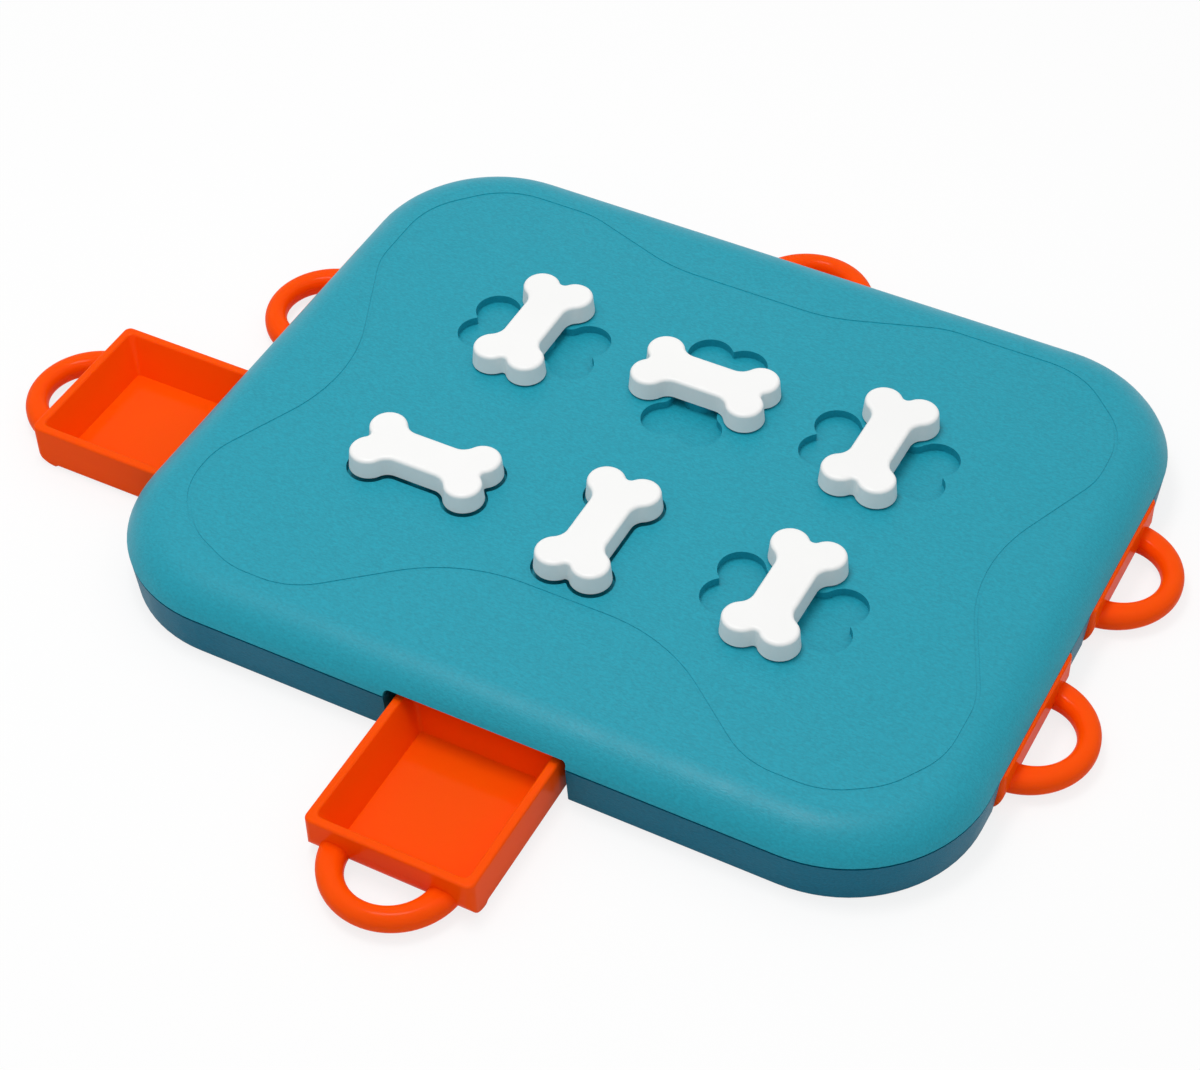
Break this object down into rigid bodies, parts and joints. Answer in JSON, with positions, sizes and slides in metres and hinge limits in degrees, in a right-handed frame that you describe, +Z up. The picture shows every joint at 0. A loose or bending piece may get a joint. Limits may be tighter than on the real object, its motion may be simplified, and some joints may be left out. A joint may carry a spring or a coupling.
{
  "type": "pet treat puzzle",
  "caption": "Low rounded board with pull-out treat drawers on all four sides, each held shut by a bone-shaped knob that turns a lock cam on the deck.",
  "frame": {"origin": "centre of the board's underside, on the surface it rests on", "axes": "+X along the board's long side to the right, +Y to the back, +Z up; the front drawer opens along -Y"},
  "size_m": [0.4556, 0.3894, 0.0389],
  "materials": {
    "shell": "satin with a fine moulded grain",
    "drawer": "satin gloss, smooth",
    "bone": "satin gloss, smooth",
    "screw": "zinc plated"
  },
  "bodies": {
    "board": {"top_shell": "shell", "base_tray": "shell", "shell_screws": "screw"},
    "left_back_drawer": {"left_back_drawer": "drawer"},
    "left_back_lock": {"left_back_bone": "bone", "left_back_lock_cam": "bone", "left_back_cam_screw": "screw"},
    "left_front_drawer": {"left_front_drawer": "drawer"},
    "left_front_lock": {"left_front_bone": "bone", "left_front_lock_cam": "bone", "left_front_cam_screw": "screw"},
    "right_back_drawer": {"right_back_drawer": "drawer"},
    "right_back_lock": {"right_back_bone": "bone", "right_back_lock_cam": "bone", "right_back_cam_screw": "screw"},
    "right_front_drawer": {"right_front_drawer": "drawer"},
    "right_front_lock": {"right_front_bone": "bone", "right_front_lock_cam": "bone", "right_front_cam_screw": "screw"},
    "back_drawer": {"back_drawer": "drawer"},
    "back_lock": {"back_bone": "bone", "back_lock_cam": "bone", "back_cam_screw": "screw"},
    "front_drawer": {"front_drawer": "drawer"},
    "front_lock": {"front_bone": "bone", "front_lock_cam": "bone", "front_cam_screw": "screw"}
  },
  "joints": [
    {"name": "left_back_drawer_slide", "type": "slide", "parent": "board", "child": "left_back_drawer", "axis": [-1, 0, 0], "range_m": [0, 0.06]},
    {"name": "left_back_lock_turn", "type": "hinge", "parent": "board", "child": "left_back_lock", "pos_m": [-0.0755, 0.043, 0.03], "axis": [0, 0, 1], "range_deg": [0, 90]},
    {"name": "left_front_drawer_slide", "type": "slide", "parent": "board", "child": "left_front_drawer", "axis": [-1, 0, 0], "range_m": [-0.0586, 0.0014]},
    {"name": "left_front_lock_turn", "type": "hinge", "parent": "board", "child": "left_front_lock", "pos_m": [-0.0755, -0.043, 0.03], "axis": [0, 0, 1], "range_deg": [0, 90]},
    {"name": "right_back_drawer_slide", "type": "slide", "parent": "board", "child": "right_back_drawer", "axis": [1, 0, 0], "range_m": [0, 0.06]},
    {"name": "right_back_lock_turn", "type": "hinge", "parent": "board", "child": "right_back_lock", "pos_m": [0.0755, 0.043, 0.03], "axis": [0, 0, 1], "range_deg": [0, 90]},
    {"name": "right_front_drawer_slide", "type": "slide", "parent": "board", "child": "right_front_drawer", "axis": [1, 0, 0], "range_m": [0, 0.06]},
    {"name": "right_front_lock_turn", "type": "hinge", "parent": "board", "child": "right_front_lock", "pos_m": [0.0755, -0.043, 0.03], "axis": [0, 0, 1], "range_deg": [0, 90]},
    {"name": "back_drawer_slide", "type": "slide", "parent": "board", "child": "back_drawer", "axis": [0, 1, 0], "range_m": [0, 0.06]},
    {"name": "back_lock_turn", "type": "hinge", "parent": "board", "child": "back_lock", "pos_m": [0, 0.0447, 0.03], "axis": [0, 0, 1], "range_deg": [0, 90]},
    {"name": "front_drawer_slide", "type": "slide", "parent": "board", "child": "front_drawer", "axis": [0, -1, 0], "range_m": [-0.059, 0.001]},
    {"name": "front_lock_turn", "type": "hinge", "parent": "board", "child": "front_lock", "pos_m": [0, -0.0447, 0.03], "axis": [0, 0, 1], "range_deg": [0, 90]}
  ]
}
